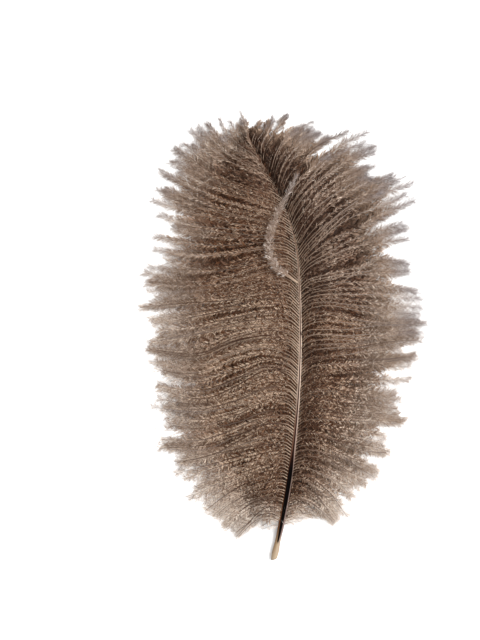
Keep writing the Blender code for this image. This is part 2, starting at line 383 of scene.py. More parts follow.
# how the barbs flow: share along the vane, then how far out and on towards the tip a barb has come at
# each of those places but the first, in mm
LEFT_GUIDES = (
    (0.00, 2.0, 0.5, 5.0, 1.5, 9.5, 0.5, 14.5, -3.0, 20.5, -9.5),
    (0.08, 3.0, 1.5, 8.5, 1.5, 15.5, -1.0, 24.0, -6.5, 34.0, -15.0),
    (0.17, 4.0, 3.0, 12.0, 3.0, 22.0, 0.5, 34.0, -3.5, 50.0, -9.0),
    (0.25, 4.5, 3.5, 14.0, 4.0, 26.0, -0.5, 41.5, -6.0, 62.0, -7.0),
    (0.33, 5.0, 4.5, 14.5, 5.0, 27.0, -1.0, 43.5, -5.0, 66.0, -2.0),
    (0.41, 5.0, 4.5, 15.0, 7.0, 28.5, 3.0, 46.0, -3.5, 69.0, 0.5),
    (0.47, 5.0, 4.5, 15.5, 6.0, 30.0, 3.0, 47.0, -4.0, 70.0, -3.0),
    (0.51, 5.5, 4.5, 16.0, 5.0, 31.0, 3.0, 49.0, -2.0, 71.5, -5.0),
    (0.60, 5.5, 5.0, 16.0, 5.0, 30.5, 1.0, 49.0, -1.0, 72.0, -2.5),
    (0.68, 6.0, 4.0, 16.5, 4.0, 31.0, 1.5, 49.0, 0.0, 71.0, 3.5),
    (0.76, 6.0, 3.5, 15.5, 5.0, 29.0, 7.0, 45.0, 11.5, 64.0, 19.0),
    (0.85, 4.5, 3.0, 12.0, 6.0, 21.5, 10.5, 33.0, 17.5, 46.0, 27.5),
    (0.92, 2.5, 2.5, 7.0, 5.5, 13.0, 9.5, 20.0, 15.5, 27.0, 24.0),
    (0.97, 1.5, 1.5, 3.5, 4.0, 6.0, 7.5, 8.5, 12.5, 11.0, 18.5),
    (1.00, 0.5, 1.5, 1.0, 3.5, 1.0, 6.5, 1.5, 10.0, 2.5, 14.5),
)
RIGHT_GUIDES = (
    (0.00, 1.5, 1.0, 3.5, 2.0, 7.0, 3.0, 11.5, 3.5, 17.0, 2.5),
    (0.04, 2.0, 1.5, 6.0, 3.0, 11.0, 2.5, 17.0, -1.0, 23.0, -7.0),
    (0.10, 2.5, 2.0, 7.0, 2.0, 12.5, -1.5, 18.5, -7.5, 24.5, -15.5),
    (0.15, 3.5, 2.0, 9.0, 2.5, 16.0, -0.5, 24.5, -5.5, 33.5, -12.5),
    (0.20, 4.0, 2.5, 10.5, 2.5, 18.5, -1.0, 28.5, -6.0, 41.0, -11.0),
    (0.25, 4.0, 3.0, 11.0, 3.5, 20.0, 1.0, 32.5, -1.0, 47.5, -3.5),
    (0.31, 4.0, 3.0, 11.0, 4.0, 21.0, 1.0, 33.5, -1.0, 49.5, -1.5),
    (0.38, 4.5, 3.5, 12.0, 5.0, 23.0, 5.5, 37.0, 7.0, 55.5, 9.0),
    (0.46, 4.0, 3.5, 12.0, 4.5, 23.0, 4.0, 38.0, 5.0, 57.5, 8.0),
    (0.53, 4.0, 3.5, 12.0, 4.5, 22.5, 2.5, 37.0, 1.0, 57.5, 1.5),
    (0.59, 4.5, 4.0, 12.5, 6.0, 24.0, 7.0, 39.0, 7.0, 60.0, 4.0),
    (0.63, 4.0, 4.5, 11.5, 8.5, 22.0, 14.0, 37.0, 18.5, 58.5, 21.5),
    (0.67, 4.0, 5.0, 11.5, 11.0, 22.0, 18.5, 37.5, 26.5, 59.0, 35.5),
    (0.75, 3.0, 5.0, 8.5, 12.5, 17.5, 20.5, 31.0, 29.5, 52.0, 38.0),
    (0.80, 2.0, 5.0, 7.0, 12.0, 15.0, 20.0, 27.5, 29.0, 47.0, 37.0),
    (0.85, 1.0, 4.0, 4.0, 10.0, 9.0, 17.0, 18.0, 25.0, 33.0, 33.5),
    (0.91, 0.5, 3.5, 2.0, 9.0, 6.0, 15.5, 12.5, 22.5, 22.0, 28.5),
    (0.96, 0.0, 2.5, 0.5, 6.5, 2.5, 11.0, 6.0, 17.0, 11.0, 22.5),
    (1.00, 0.0, 1.5, 0.0, 4.0, 0.5, 7.0, 1.5, 11.0, 3.0, 15.5),
)
SIDES = {"left": -1, "right": 1}
LOCKS_A_SIDE = 32
LOCK_SEED = 5
LOCK_STEPS = 10
LOCK_PARTINGS = (6, 7, 8)  # steps out along the barbs where neighbours part
LOCK_WIDTH_SPREAD = 0.32
# share along the vane, then a lock's width at its end as a share of its width at the parting:
# left, right
LOCK_ENDS = (
    (0.00, 0.88, 0.92),
    (0.30, 0.90, 0.90),
    (0.55, 0.88, 0.84),
    (0.70, 0.84, 0.74),
    (0.90, 0.76, 0.68),
    (1.00, 0.60, 0.60),
)
EVEN_END_WIDTH = 0.95  # in an even lay
LOCK_REACH_SPREAD = 0.07
LOCK_LIFT_SPREAD = 0.0007
LOCK_RIDGE = 0.0005
LOCK_SEAM = 0.0003
UPPER_LOCKS = (0.55, 0.10)  # on the right: where they start along the vane, and over how much
UPPER_EARLIER = 0.06  # they part by this share sooner
UPPER_REACH_SPREAD = 0.10  # and their reach differs by this much more
VANE_ARCH = 0.0036
VANE_ARCH_SHARE = 0.55
VANE_FULL_ARCH_REACH = 0.040
VANE_DOWN_SHARE = 0.76
VANE_REST_HEIGHT = 0.0002


def guided_place(side, share, out):
    """How far out and on a barb has come, in metres, on smooth curves through the guide barbs."""
    rows = smooth_through(LEFT_GUIDES if side < 0 else RIGHT_GUIDES, share) / 1000
    rows = rows.reshape(*rows.shape[:-1], -1, 2)
    weights = smooth_through(np.column_stack([GUIDE_PLACES, np.eye(len(GUIDE_PLACES))]), out)
    return (weights[..., 1:, None] * rows).sum(-2), np.linalg.norm(rows[..., -1, :], axis=-1)


def vane_point(share, side, out):
    """A point of the vane, out to a share of the barb rooted at a share of the shaft's vaned part."""
    root = shaft_point(VANE_START_Y + (SHAFT_TIP_Y - VANE_START_Y) * share)
    gone, reach = guided_place(side, share, out)
    fall = ease(out / VANE_DOWN_SHARE)
    arch = np.sin(np.pi * np.minimum(out / VANE_ARCH_SHARE, 1.0))
    arch = arch * np.minimum(1.0, reach / VANE_FULL_ARCH_REACH)
    height = root[..., 2] + (VANE_REST_HEIGHT - root[..., 2]) * fall + VANE_ARCH * arch
    return np.stack([root[..., 0] + side * gone[..., 0], root[..., 1] + gone[..., 1], height], -1)


class Locks:
    """How the vane parts into locks, each with its own width, reach and lift."""

    def __init__(self):
        rng = random.Random(LOCK_SEED)
        names = ("reach", "lift", "parting", "shift")
        drawn = {(name, side): [] for name in names for side in SIDES.values()}
        for side in SIDES.values():
            for _ in range(LOCKS_A_SIDE + 1):
                drawn["reach", side].append(rng.uniform(0, 1))
                drawn["lift", side].append(rng.uniform(0, LOCK_LIFT_SPREAD))
                drawn["parting", side].append(rng.choice(LOCK_PARTINGS))
                drawn["shift", side].append(rng.uniform(-LOCK_WIDTH_SPREAD, LOCK_WIDTH_SPREAD))
            drawn["shift", side][0] = drawn["shift", side][LOCKS_A_SIDE] = 0.0
        self.drawn = {name: np.array(numbers) for name, numbers in drawn.items()}

    def border(self, side, slit, out):
        shift = self.drawn["shift", side][slit] * ease(out * LOCK_STEPS / LOCK_PARTINGS[0])
        return (slit + shift) / LOCKS_A_SIDE

    def place(self, side, lock, across, out, end_width):
        """Points of the locks. across is -1 and 1 on a lock's two edges, and 0 on its middle line."""
        parted = self.drawn["parting", side][lock + (across > 0)] / LOCK_STEPS
        parted = parted - UPPER_EARLIER * (side > 0) * rising(lock / LOCKS_A_SIDE, *UPPER_LOCKS)
        width = 1 - (1 - end_width) * np.maximum(0.0, (out - parted) / (1 - parted))
        low = self.border(side, lock, out)
        high = self.border(side, lock + 1, out)
        share = np.clip((low + high + (high - low) * across * width) / 2, 0.0, 1.0)
        first_free = (LOCK_PARTINGS[0] - 1) / LOCK_STEPS
        free = rising(out, first_free, 1 - first_free)
        short = LOCK_REACH_SPREAD + UPPER_REACH_SPREAD * (side > 0) * rising(share, *UPPER_LOCKS)
        place = vane_point(share, side, out * (1 - short * self.drawn["reach", side][lock] * free))
        fullness = (high - low) * LOCKS_A_SIDE * np.sin(np.pi * np.minimum(out, 1.0))
        ridge = LOCK_RIDGE * (1 - np.abs(across)) - LOCK_SEAM * np.abs(across)
        place[..., 2] += fullness * ridge + np.sin(np.pi * free) * self.drawn["lift", side][lock]
        return place


class Barbs:
    """Barbs of one side: their points, and their shares along the vane. upper is 1 for one that lies
    on top, and risen is how far its horn has come up out of its own fluff at every point."""

    def __init__(self, side, paths, share, upper=None, risen=None):
        self.side, self.paths, self.share = side, paths, share
        self.upper = np.ones(len(paths)) if upper is None else upper
        self.risen = np.zeros(paths.shape[:2]) if risen is None else risen

    def part(self, first, last):
        """Some of the barbs, from a share of them to another."""
        some = slice(int(len(self.paths) * first), int(len(self.paths) * last))
        return Barbs(self.side, self.paths[some], self.share[some], self.upper[some], self.risen[some])


BARBS_A_LOCK = 4
BARB_KNOTS = 26
BARB_WAVES = ((2.3, 0.7), (5.1, 0.5), (9.7, 0.15))  # waves along the vane, and their sway in mm
BARB_STRAYS = {-1: (0.16, 0.08), 1: (0.22, 0.13)}  # of half a lock's width: at the end, and on the way
STRAYS_FULL = 0.8  # share of the way out
WANDER_HALF_WAVES = (1.2, 2.4)
TIDY_TIP, TIDIER = (0.92, 0.06), 0.8  # where barbs hardly stray, and how much less they do
MIDDLE_SWAY_LEAN, MIDDLE_SWAY_PEAK = 0.9, 1.5  # powers
LOCK_SWAY = {-1: 0.0002, 1: 0.0004}
LOCK_END_SWAY = 2  # times as far
LOCK_RISE = 0.0003
# where the ends crowd together: how many such places, and how far the ends sway
GATHERINGS = {-1: (13.0, 0.0007), 1: (15.0, 0.0010)}
GATHERINGS_SHIFT, GATHERINGS_PACE = 2, 9
END_SWAY_FROM = 0.25
WILD_SHARE = 0.05  # of the barbs leave their place by far
WILD_SWAY = 0.0015
WILD_LIFT = 0.0005
BARB_LIFT = 0.0002
BARB_LIFT_FULL = 0.3  # share of the way out
UPPER_SHARE = 0.4  # of the barbs lie on top of the others
UPPER_LIFT = 0.0004
# a barb's length as a share of its guide's, and how much that differs: everywhere, then how much
# shorter and more uneven they are on the upper right and at the tip
BARB_LENGTH, BARB_UNEVEN = 0.96, 0.05
UPPER_RIGHT, UPPER_RIGHT_ENDS, UPPER_RIGHT_LEFT = (0.62, 0.20), (0.93, 0.05), 0.5
UPPER_RIGHT_SHORTER, UPPER_RIGHT_UNEVEN = 0.10, 0.04
AT_TIP, TIP_SHORTER, TIP_UNEVEN = (0.88, 0.08), 0.05, 0.07
UNEVEN_LIMITS = (-2.6, 1.7)
BARE_SHARE = 0.50  # of the barbs lie bare for a stretch, on top of all
BARE_FEWER = 0.28  # and this much less near the tip
BARE_FEWER_FROM = (0.40, 0.20)
BARE_STARTS, BARE_LENGTHS = (0.04, 0.40), (0.40, 0.90)  # shares of the way out
BARE_LATE = 0.4  # of those, only further out
BARE_LATER = 0.36
BARE_LIFT = 0.0016
BARE_RAMP = 0.15
BARE_STRAYS = 1.5  # times further out of their place than the others


def waves_along(share, rng):
    """A smooth random number for every share along the vane, in metres."""
    waves = [(size / 1000, pace * share + rng.uniform()) for pace, size in BARB_WAVES]
    return sum(size * np.sin(2 * np.pi * turns) for size, turns in waves)


def vane_barbs(side, locks, rng, stray):
    """The barbs of one vane. stray is 0 for an even lay, and 1 for locks and barbs that wander."""
    place = np.tile(np.arange(BARBS_A_LOCK), LOCKS_A_SIDE)[:, None]
    lock = np.repeat(np.arange(LOCKS_A_SIDE), BARBS_A_LOCK)[:, None]
    across = (place + 0.5) / BARBS_A_LOCK * 2 - 1
    out = np.linspace(0, 1, BARB_KNOTS)[None]
    share = (lock + (across + 1) / 2) / LOCKS_A_SIDE

    bare_share = BARE_SHARE - BARE_FEWER * rising(share, *BARE_FEWER_FROM)
    bare = stray * (rng.uniform(0, 1, lock.shape) < bare_share)
    late = rng.uniform(0, 1, lock.shape) < BARE_LATE
    bare_from = rng.uniform(*BARE_STARTS, lock.shape) + BARE_LATER * late
    bare_to = bare_from + rng.uniform(*BARE_LENGTHS, lock.shape)
    risen = BARE_LIFT * bare * rising(out, bare_from, BARE_RAMP) * ease((bare_to - out) / BARE_RAMP)

    upper_right = (side > 0) * rising(share, *UPPER_RIGHT)
    upper_right = upper_right * (1 - UPPER_RIGHT_LEFT * rising(share, *UPPER_RIGHT_ENDS))
    tip = rising(share, *AT_TIP)
    uneven = BARB_UNEVEN + UPPER_RIGHT_UNEVEN * upper_right + TIP_UNEVEN * tip
    longer = BARB_LENGTH - UPPER_RIGHT_SHORTER * upper_right - TIP_SHORTER * tip
    longer = longer + uneven * rng.normal(0.0, 1.0, lock.shape).clip(*UNEVEN_LIMITS)

    strays, wanders = BARB_STRAYS[side]
    spread = rng.normal(0.0, strays, lock.shape) * ease(out / STRAYS_FULL)
    wander = rng.normal(0.0, wanders, lock.shape)
    spread = spread + wander * np.sin(np.pi * out * rng.uniform(*WANDER_HALF_WAVES, lock.shape))
    spread = spread * (1 + BARE_STRAYS * bare) * (1 - TIDIER * rising(share, *TIDY_TIP))
    lock_sway = rng.normal(0.0, LOCK_SWAY[side], LOCKS_A_SIDE)[lock]
    lock_lift = np.abs(rng.normal(0.0, LOCK_RISE, LOCKS_A_SIDE))[lock]
    wild = (rng.uniform(0, 1, lock.shape) < WILD_SHARE) * rng.normal(0.0, 1.0, lock.shape)
    middle = waves_along(share, rng) + lock_sway + WILD_SWAY * wild
    end = waves_along(share, rng) + LOCK_END_SWAY * lock_sway + WILD_SWAY * wild
    gatherings, gather = GATHERINGS[side]
    turns = gatherings * share + rng.uniform()
    end = end + gather * np.sin(2 * np.pi * turns + GATHERINGS_SHIFT * np.sin(GATHERINGS_PACE * share))
    end_width = smooth_through(LOCK_ENDS, share)[..., int(side > 0)] if stray else EVEN_END_WIDTH

    paths = locks.place(side, lock, across + stray * spread, out * longer, end_width)
    forward = middle * np.sin(np.pi * out**MIDDLE_SWAY_LEAN) ** MIDDLE_SWAY_PEAK
    forward = forward + end * rising(out, END_SWAY_FROM, 1 - END_SWAY_FROM)
    bearing = shaft_bearing(VANE_START_Y + (SHAFT_TIP_Y - VANE_START_Y) * share)
    on = np.stack([np.sin(bearing), np.cos(bearing), 0 * bearing], -1)
    paths = paths + (stray * forward)[..., None] * on
    upper = stray * (rng.uniform(0, 1, lock.shape) < UPPER_SHARE)
    lift = rng.normal(0.0, BARB_LIFT, lock.shape) + lock_lift + WILD_LIFT * np.abs(wild)
    lift = lift + UPPER_LIFT * upper
    height = paths[..., 2] + stray * lift * ease(out / BARB_LIFT_FULL)
    paths[..., 2] = np.maximum(height, VANE_REST_HEIGHT) + risen
    return Barbs(side, paths, share[:, 0], upper[:, 0], risen)


def strand_frames(paths):
    """At every knot of every strand: the way it runs, the way across it, and its upper side."""
    ahead = unit(np.gradient(paths, axis=1))
    upper = unit(UP - (ahead @ UP)[..., None] * ahead)
    return ahead, np.cross(ahead, upper), upper


def barb_material():
    material, blank, shader = new_material("horn_of_the_barbs", 0.5, 0.2)
    out = blank.attribute("out")  # 0 at the barb's root, 1 at its end
    tone = blank.attribute("tone")  # 0 on the dark barbs low in the vane, 1 on the pale ones high in it
    # the dark colour is also that of every barb's low flanks, where it is partly painted shade beside the
    # lit ridge
    dark_and_flank_shade_stops = (
        (0.0, 186, 165, 145),
        (0.10, 158, 135, 115),
        (0.22, 66, 42, 29),
        (0.70, 70, 47, 34),
        (1.0, 110, 90, 76),
    )
    pale_stops = (
        (0.0, 150, 128, 110),
        (0.15, 148, 125, 106),
        (0.50, 160, 140, 124),
        (0.85, 160, 149, 142),
        (1.0, 122, 116, 122),
    )
    blank.mix(tone, out.ramp(dark_and_flank_shade_stops), out.ramp(pale_stops)).into(shader, "Base Color")
    return material


BARB_ROOT_RADIUS = 0.00019
BARB_END_RADIUS = 0.00008
BARB_TAPER = 1.3
# the corners of a barb's section: across and up in radii, and their share of the tone
# the flanks get no tone, so they take the dark colour: partly the barb's own darker sides, partly painted
# shade beside its lit ridge
BARB_PROFILE = ((-1.0, -0.5, 0.0), (-0.45, 1.0, 1.0), (0.45, 1.0, 1.0), (1.0, -0.5, 0.0))
BAKE_MARGIN = 0.03


def on_bake_sheet(values):
    """Places from 0 to 1 on the sheet that the colours are baked to, clear of its edge."""
    return BAKE_MARGIN + (1 - 2 * BAKE_MARGIN) * values


def strands(name, paths, thick, tone, fade, material):
    """Thin rods along rows of points, each with a pale foot, a ridge of its own tone and dark flanks,
    partly the barb's own darker sides and partly painted shade.
    """
    ahead, across, upper = strand_frames(paths)
    out = np.linspace(0, 1, paths.shape[1])[None, :, None]
    radius = BARB_END_RADIUS + (BARB_ROOT_RADIUS - BARB_END_RADIUS) * (1 - out) ** BARB_TAPER
    radius = thick[:, None, None] * radius
    points = [paths + radius * (level * across + rise * upper) for level, rise, _ in BARB_PROFILE]
    points = np.stack(points, 2)
    points[..., 2] = np.maximum(points[..., 2], 0.0)
    toned = np.array([share for _, _, share in BARB_PROFILE])
    values = {
        "out": np.broadcast_to(out**fade, points.shape[:3]).ravel(),
        "tone": (tone[:, None, None] * toned * np.ones_like(out)).ravel(),
    }
    bake_uv = on_bake_sheet(np.stack([values["out"], values["tone"]], -1))
    quads = tube_faces(*points.shape[:3])
    new_piece(name, points.reshape(-1, 3), quads, values, bake_uv, material)


PALE_FROM = {"left": 0.50, "right": 0.32}  # share along the vane from which more barbs are pale
PALE_SPAN, PALE_LIMITS = 0.25, (0.15, 0.85)
PALE_TONE, DARK_TONE, TONE_VARIES = 0.62, 0.12, (-0.30, 0.20)
THICKNESS_VARIES = (0.75, 1.05)
BARE_THICKNESS = 1.5  # where it is dark
BARB_FADES = {"left": 0.8, "right": 0.6}  # under 1, the pale foot is short
LAY_SEED = 11

locks = Locks()
rng = np.random.default_rng(LAY_SEED)
horn_of_barbs = barb_material()
barbs = {name: vane_barbs(side, locks, rng, 1.0) for name, side in SIDES.items()}
for side_name, side_barbs in barbs.items():
    lies_bare = side_barbs.risen.max(1) > 0
    pale_chance = rising(side_barbs.share, PALE_FROM[side_name], PALE_SPAN).clip(*PALE_LIMITS)
    pale = pale_chance > rng.uniform(0, 1, len(lies_bare))
    tone = np.where(pale, PALE_TONE, DARK_TONE) + rng.uniform(*TONE_VARIES, len(pale))
    thick = np.where(lies_bare & ~pale, BARE_THICKNESS, 1.0) * rng.uniform(*THICKNESS_VARIES, len(pale))
    strands(f"barbs_{side_name}", side_barbs.paths, thick, tone, BARB_FADES[side_name], horn_of_barbs)


# The barbules: soft wavy threads a few millimetres long that line both flanks of every barb. On an
# ostrich they have no hooks to hold on with, so they stand apart as fluff. They grow in small
# tufts, darker low in the vane and paler towards the ends of the barbs. The under coat is painted
# darker and the top coat paler, partly their own colour and partly painted shade of the fluff's
# depth, and painted shade darkens them by the shaft and in the valley right of it.

# coat: tufts on a millimetre of barb, blades a tuft, how far a tuft spreads along the barb, length,
# width, lowest and highest lift in degrees, tone, its spread
# the tone is darkest in the under coat, below the barbs, and palest in the top coat: partly the barbules'
# own colour, partly painted shade of the fluff's depth
COATS = {
    "under": (7.0, 1, 0.0, 0.0036, 0.00055, -60, -5, 0.20, 0.09),
    "middle": (7.0, 2, 0.00008, 0.0015, 0.00009, -20, 18, 0.40, 0.20),
    "top": (6.0, 2, 0.00005, 0.0015, 0.00010, 0, 30, 0.77, 0.25),
    "ends": (8.5, 2, 0.00020, 0.0037, 0.00010, -14, 22, 0.41, 0.32),
    "down": (4.5, 2, 0.00030, 0.0030, 0.00009, -20, 40, 0.74, 0.18),
    "stray": (4.2, 2, 0.00005, 0.0027, 0.00012, -10, 36, 0.20, 0.30),
}
# share along the vane, then for the left and then the right: the barbs' bare foot in mm, the lean of
# the barbules in degrees, the share out from which they pale, and the grade they reach at the ends,
# 0.6 for a warm beige and 1 for a cool grey
FLUFF = (
    (0.00, 2.0, 46.0, -1.5, 0.62, 2.0, 46.0, -1.5, 0.62),
    (0.05, 3.5, 46.0, 0.00, 0.58, 2.5, 46.0, 0.00, 0.60),
    (0.10, 5.0, 46.0, 0.35, 0.48, 3.0, 46.0, 0.10, 0.60),
    (0.30, 8.0, 46.0, 0.58, 0.44, 3.0, 46.0, 0.30, 0.64),
    (0.50, 7.5, 44.0, 0.60, 0.50, 2.5, 40.0, 0.46, 0.88),
    (0.65, 6.0, 40.0, 0.56, 0.68, 2.5, 32.0, 0.42, 1.00),
    (0.80, 4.5, 34.0, 0.52, 0.84, 3.0, 27.0, 0.39, 1.00),
    (0.92, 3.5, 30.0, 0.45, 0.90, 3.0, 25.0, 0.30, 1.00),
    (1.00, 2.5, 28.0, 0.22, 0.90, 2.5, 25.0, 0.16, 0.92),
)
WARM_GRADE = 0.6
BLADE_REST_HEIGHT = 0.0001
BAKE_APART = 0.0012  # between a blade's two flanks on the bake sheet


def barbule_material():
    material, blank, shader = new_material("barbule_fluff", 0.62, 0.1)
    shade = blank.attribute("shade")  # 0 on the darkest barbules of a grade, 1 on the palest
    grade = blank.attribute("grade")  # 0 for brown, then as above
    brown_stops = (
        (0.0, 26, 9, 2),
        (0.35, 78, 46, 26),
        (0.65, 131, 97, 73),
        (1.0, 206, 180, 155),
    )
    warm_stops = ((0.0, 116, 93, 76), (0.5, 184, 163, 145), (1.0, 236, 226, 214))
    cool_stops = ((0.0, 98, 88, 86), (0.5, 164, 155, 153), (1.0, 228, 223, 226))
    brown, warm, cool = (shade.ramp(stops) for stops in (brown_stops, warm_stops, cool_stops))
    pale = blank.mix(((grade - WARM_GRADE) / (1 - WARM_GRADE)).clipped(), warm, cool)
    blank.mix((grade / WARM_GRADE).clipped(), brown, pale).into(shader, "Base Color")
    return material


def blades(name, base, ahead, beyond, face, length, width, shade, grade, material):
    """Thin two-part blades, each bent at its middle: base point, two points across it there, tip."""
    half = (length / 2)[:, None]
    middle = base + ahead * half
    tip = middle + beyond * half
    edge = unit(face) * (width / 2)[:, None]
    points = np.stack([base, middle - edge, middle + edge, tip], 1).reshape(-1, 3)
    points[:, 2] = np.maximum(points[:, 2], BLADE_REST_HEIGHT)
    first = 4 * np.arange(len(base))[:, None]
    faces = np.concatenate([first + (0, 1, 2), first + (1, 3, 2)], 1).reshape(-1, 3)
    shade = shade.clip(0, 1).ravel()
    grade = np.repeat(grade.clip(0, 1), 4)
    bake_uv = np.stack([grade + np.tile((0, -BAKE_APART, BAKE_APART, 0), len(base)), shade], -1)
    bake_uv = on_bake_sheet((bake_uv - bake_uv.min(0)) / np.ptp(bake_uv, axis=0))
    new_piece(name, points, faces, {"shade": shade, "grade": grade}, bake_uv, material)


def at_share(rows, strand, out):
    """The rows of values of these strands, read at a share of the way out."""
    place = out.clip(0, 1) * (rows.shape[1] - 1)
    low = np.minimum(place.astype(int), rows.shape[1] - 2)
    part = (place - low)[:, None]
    return rows[strand, low] * (1 - part) + rows[strand, low + 1] * part


# zone of the vane: measured along the vane, out along the barb, both as a share, or away from the
# shaft in metres, then where it starts and over how much it comes up
ZONES = {
    "under_start": ("along", 0.00, 0.06),
    "past_start": ("along", 0.05, 0.10),
    "past_foot": ("along", 0.08, 0.22),
    "midway": ("along", 0.30, 0.12),
    "high": ("along", 0.50, 0.18),
    "round_tip": ("along", 0.82, 0.10),
    "at_tip": ("along", 0.90, 0.07),
    "half_out": ("out", 0.40, 0.40),
    "free": ("out", 0.45, 0.40),
    "free_under": ("out", 0.45, 0.30),
    "past_half": ("out", 0.50, 0.35),
    "outer": ("out", 0.55, 0.45),
    "off_root": ("away", 0.000, 0.006),
    "past_valley": ("away", 0.007, 0.010),
    "off_shaft": ("away", 0.010, 0.012),
    "far": ("away", 0.018, 0.010),
    "far_under": ("away", 0.008, 0.010),
}
# zone: how much paler a coat is there, or darker where it's under 0: left, right
LOOSE_SHADES = {
    "everywhere": (-0.02, -0.20),
    # painted shade: the valley right of the shaft, where the vane turns away from the light
    "valley": (0, -0.31),
    "low_midway": (0, -0.08),
    "high": (-0.28, -0.22),
    "high_outer": (0, 0.14),
    # painted shade between the barbs beside the shaft, low on the left
    "low_by_shaft": (-0.16, 0),
    "far": (0.06, 0),
    "foot_free": (0.22, 0.32),
}
SHADES = {
    "under": {
        "everywhere": (0, -0.06),
        "high": (-0.04, -0.04),
        # painted shade between the barbs by their roots
        "by_root": (-0.12, -0.12),
        "free_under": (0.22, 0.22),
        "far_under": (0.06, 0),
    },
    "middle": LOOSE_SHADES | {"outer": (-0.20, 0)},
    "top": LOOSE_SHADES | {"outer": (-0.10, -0.10)},
    "ends": LOOSE_SHADES | {"outer": (-0.20, 0)},
}
# how uneven the tone of the looser coats is, as a multiple of COATS: everywhere, less high in the
# vane, more in the valley, less at the outer ends
LOOSE_UNEVEN = {-1: (1.25, 0.25, 0.00, 0.10), 1: (1.25, 0.41, 0.30, 0.40)}


def zones_of(along, out, away):
    """How far each tuft lies in each zone of the vane, from 0 to 1."""
    ways = {"along": along, "out": out, "away": away}
    zone = {name: rising(ways[way], start, span) for name, (way, start, span) in ZONES.items()}
    low = 1 - zone["high"]
    return zone | {
        "everywhere": 1.0,
        # where the valley's painted shade falls, right of the shaft
        "valley": (1 - zone["past_valley"]) * zone["past_start"],
        "low_midway": zone["midway"] * low,
        "high_outer": zone["high"] * zone["outer"],
        # where painted shade falls between the barbs beside the shaft
        "low_by_shaft": (1 - zone["off_shaft"]) * low,
        "foot_free": (1 - zone["past_foot"]) * zone["free"],
        # where painted shade falls at the barbs' roots
        "by_root": 1 - zone["off_root"],
    }


UNDER_THINS_FROM = {-1: 0.70, 1: 0.58}  # share of the way out
UNDER_THINS_SOONER = 0.06  # high in the vane
UNDER_THINS_OVER, UNDER_GONE = 0.34, 1.05  # over 1, so that none is left before the very end
UNDER_FIRST = 0.15  # of the tufts stands at the very start of the vane
ENDS_FROM, ENDS_OVER = 0.52, 0.25
SPARSE_FROM = 0.12  # down and the stray lock are bare up to here
MIDDLE_FOOT = 0.8  # of the bare foot
FOOT_VARIES = (0.6, 1.4)
MIDDLE_THINS_FROM, MIDDLE_THINS_SOONER, MIDDLE_THINS_OVER = 0.55, 0.12, 0.22
TOP_SHARE = 0.95


def tufts_that_grow(coat, side, zone, out, away, bare, rng):
    """True for the tufts that a coat really has. The others leave it thin there."""
    tufts = len(out)
    if coat == "under":
        thins = UNDER_THINS_FROM[side] - UNDER_THINS_SOONER * zone["high"]
        grows = rng.uniform(0, 1, tufts) > UNDER_GONE * rising(out, thins, UNDER_THINS_OVER)
        return grows & (rng.uniform(0, 1, tufts) < UNDER_FIRST + zone["under_start"])
    if coat == "ends":
        return rng.uniform(0, 1, tufts) < rising(out, ENDS_FROM, ENDS_OVER)
    if coat in ("down", "stray"):
        return out > SPARSE_FROM
    foot = bare / 1000 * (MIDDLE_FOOT if coat == "middle" else 1.0)
    grows = away > foot * rng.uniform(*FOOT_VARIES, tufts)
    if coat == "top":
        return grows & (rng.uniform(0, 1, tufts) < TOP_SHARE)
    thins = MIDDLE_THINS_FROM - MIDDLE_THINS_SOONER * (side > 0) * zone["high"]
    return grows & (rng.uniform(0, 1, tufts) > rising(out, thins, MIDDLE_THINS_OVER))


USUAL_ROOM = 0.0013  # between neighbouring barbs
ROOM_LIMITS = (0.8, 2.2)  # as a multiple of it
ROOM_LENGTHENS, ROOM_WIDENS = 0.3, 0.4  # powers of that multiple
TOP_TUFTS, UPPER_BARB_TUFTS = 0.85, 0.4  # on every barb, and more on those that lie on top
TOP_JITTER = 0.3  # of the room between two tufts
TOP_COMBED = 0.5  # how much its blades differ, beside the others'
ENDS_LEAN = 14.0  # degrees more, where the barbs' ends stand free
LEAN_VARIES = 12.0
OUTER_LEANS_LESS = 0.25
CURLY_LEAN, STRAIGHT_LEAN = 46, 20  # degrees: threads that lean less turn less
LENGTH_AT_SHAFT, LENGTH_GAIN = 0.6, 0.02  # of the full one, and the metres for a whole one more
OUTER_SHORTER, AT_TIP_SHORTER = 0.22, 0.45
TUFT_LENGTHS, BLADE_LENGTHS, BLADE_WIDTHS = (0.6, 1.3), (0.85, 1.15), (0.7, 1.3)
OUTER_NARROWER, UNDER_NARROWER = 0.45, 0.7
OUTER_TUFTS_SPREAD = 2
BLADE_TURNS, STRAIGHT_TURNS_LESS = 0.45, 0.6
BLADES_LOOSE, OUTER_LOOSER = 0.10, 0.08
FACES_VARY = 0.5
GREYER_HIGH = 0.30  # grade of the palest blades, high on the right and round the tip
GREYER_LEFT = 0.5  # times as much
GREYER_DARKER = 0.28  # which keeps those places as bright
TONE_WAVES = ((0.04, 40, 5), (0.03, 97, -9))  # height, pace along the vane, pace out
BLADE_TONE_VARIES = 0.06
BLADE_SHADES = (-0.15, 0.0, 0.0, 0.12)  # on its base, its two flanks and its tip
ROOT_GRADE, GRADE_VARIES = 0.03, 0.04
PALED_AT = 1.03  # share of the way out, past the end
PALE_BLADE = 0.6  # tone


